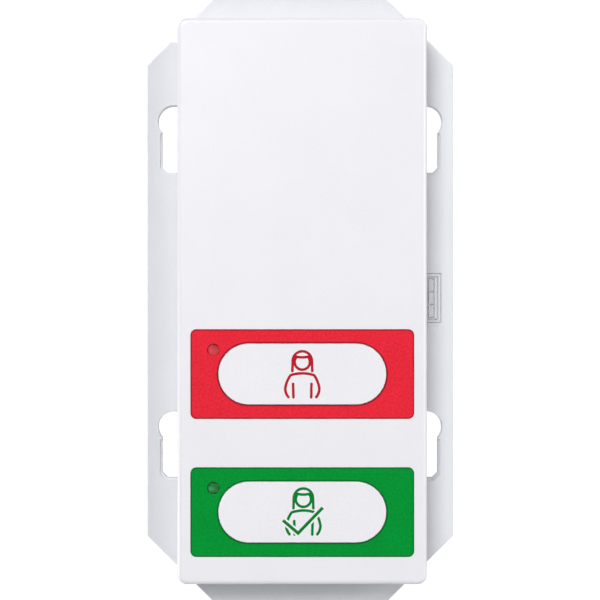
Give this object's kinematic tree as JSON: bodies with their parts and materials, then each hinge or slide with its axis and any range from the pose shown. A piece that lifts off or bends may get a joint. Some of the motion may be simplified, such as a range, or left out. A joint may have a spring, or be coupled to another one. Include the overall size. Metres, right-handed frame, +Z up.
{
  "type": "nurse call push-button unit",
  "caption": "Wall-mounted two-gang call unit: slim white cover on a keyhole support plate, red call key and green presence key with signal lights.",
  "frame": {"origin": "centre of the support plate's rear face, which lies on the wall", "axes": "+Y into the wall, +Z up as mounted, +X to the right as seen from the room"},
  "size_m": [0.071, 0.0404, 0.142],
  "materials": {
    "plate_plastic": "fine moulded matte",
    "cover_plastic": "very fine satin grain",
    "key_plastic": "very fine satin grain",
    "carrier_plastic": "moulded",
    "red_plastic": "satin inlay",
    "green_plastic": "satin inlay",
    "red_guide": "tinted clear",
    "green_guide": "tinted clear",
    "spring_wire": "bright wire and strip",
    "screw_steel": "zinc plated",
    "board_laminate": "green solder resist",
    "chip_plastic": "moulded epoxy",
    "ceramic_parts": "chip components",
    "contact_metal": "tinned contact",
    "black_plastic": "moulded",
    "stem_plastic": "moulded",
    "lamp_resin": "milky resin",
    "housing_plastic": "light grey moulded",
    "terminal_plastic": "moulded",
    "brass_cage": "stamped",
    "can_aluminium": "sleeved can"
  },
  "bodies": {
    "base": {"support_plate": "plate_plastic", "cover_clips": "spring_wire", "button_board": "board_laminate", "board_screws": "screw_steel", "board_chip": "chip_plastic", "board_parts": "ceramic_parts", "header_pins": "contact_metal", "header_block": "black_plastic", "rear_housing": "housing_plastic", "control_board": "board_laminate", "control_screws": "screw_steel", "control_chip": "chip_plastic", "capacitors": "can_aluminium", "sounder": "black_plastic", "socket_strip": "black_plastic", "terminal_header": "terminal_plastic", "terminal_pins": "contact_metal", "call_signal_light": "lamp_resin", "presence_signal_light": "lamp_resin", "call_switch": "black_plastic", "presence_switch": "black_plastic"},
    "cover": {"front_cover": "cover_plastic", "key_carrier": "carrier_plastic", "carrier_screws": "screw_steel", "call_field": "red_plastic", "presence_field": "green_plastic", "call_springs": "spring_wire", "presence_springs": "spring_wire", "call_light_guide": "red_guide", "presence_light_guide": "green_guide"},
    "call_key": {"call_key": "key_plastic", "call_symbol": "red_plastic"},
    "presence_key": {"presence_key": "key_plastic", "presence_symbol": "green_plastic"},
    "call_stem": {"call_switch_stem": "stem_plastic"},
    "presence_stem": {"presence_switch_stem": "stem_plastic"},
    "plug": {"terminal_plug": "terminal_plastic", "terminal_clamps": "brass_cage", "terminal_screws": "screw_steel"}
  },
  "joints": [
    {"name": "cover_pull", "type": "slide", "parent": "base", "child": "cover", "axis": [0, -1, 0], "range_m": [0, 0.03]},
    {"name": "call_press", "type": "slide", "parent": "cover", "child": "call_key", "axis": [0, 1, 0], "range_m": [0, 0.0008], "stiffness_N_per_m": 2500, "springref_m": -0.0006, "deforming": ["call_springs"]},
    {"name": "presence_press", "type": "slide", "parent": "cover", "child": "presence_key", "axis": [0, 1, 0], "range_m": [0, 0.0008], "stiffness_N_per_m": 2500, "springref_m": -0.0006, "deforming": ["presence_springs"]},
    {"name": "call_stem_press", "type": "slide", "parent": "base", "child": "call_stem", "axis": [0, 1, 0], "range_m": [0, 0.0008]},
    {"name": "presence_stem_press", "type": "slide", "parent": "base", "child": "presence_stem", "axis": [0, 1, 0], "range_m": [0, 0.0008]},
    {"name": "plug_pull", "type": "slide", "parent": "base", "child": "plug", "axis": [0, 1, 0], "range_m": [0, 0.01]}
  ],
  "couplings": [
    {"joint": "call_stem_press", "follows": "call_press", "ratio": 1},
    {"joint": "presence_stem_press", "follows": "presence_press", "ratio": 1}
  ]
}
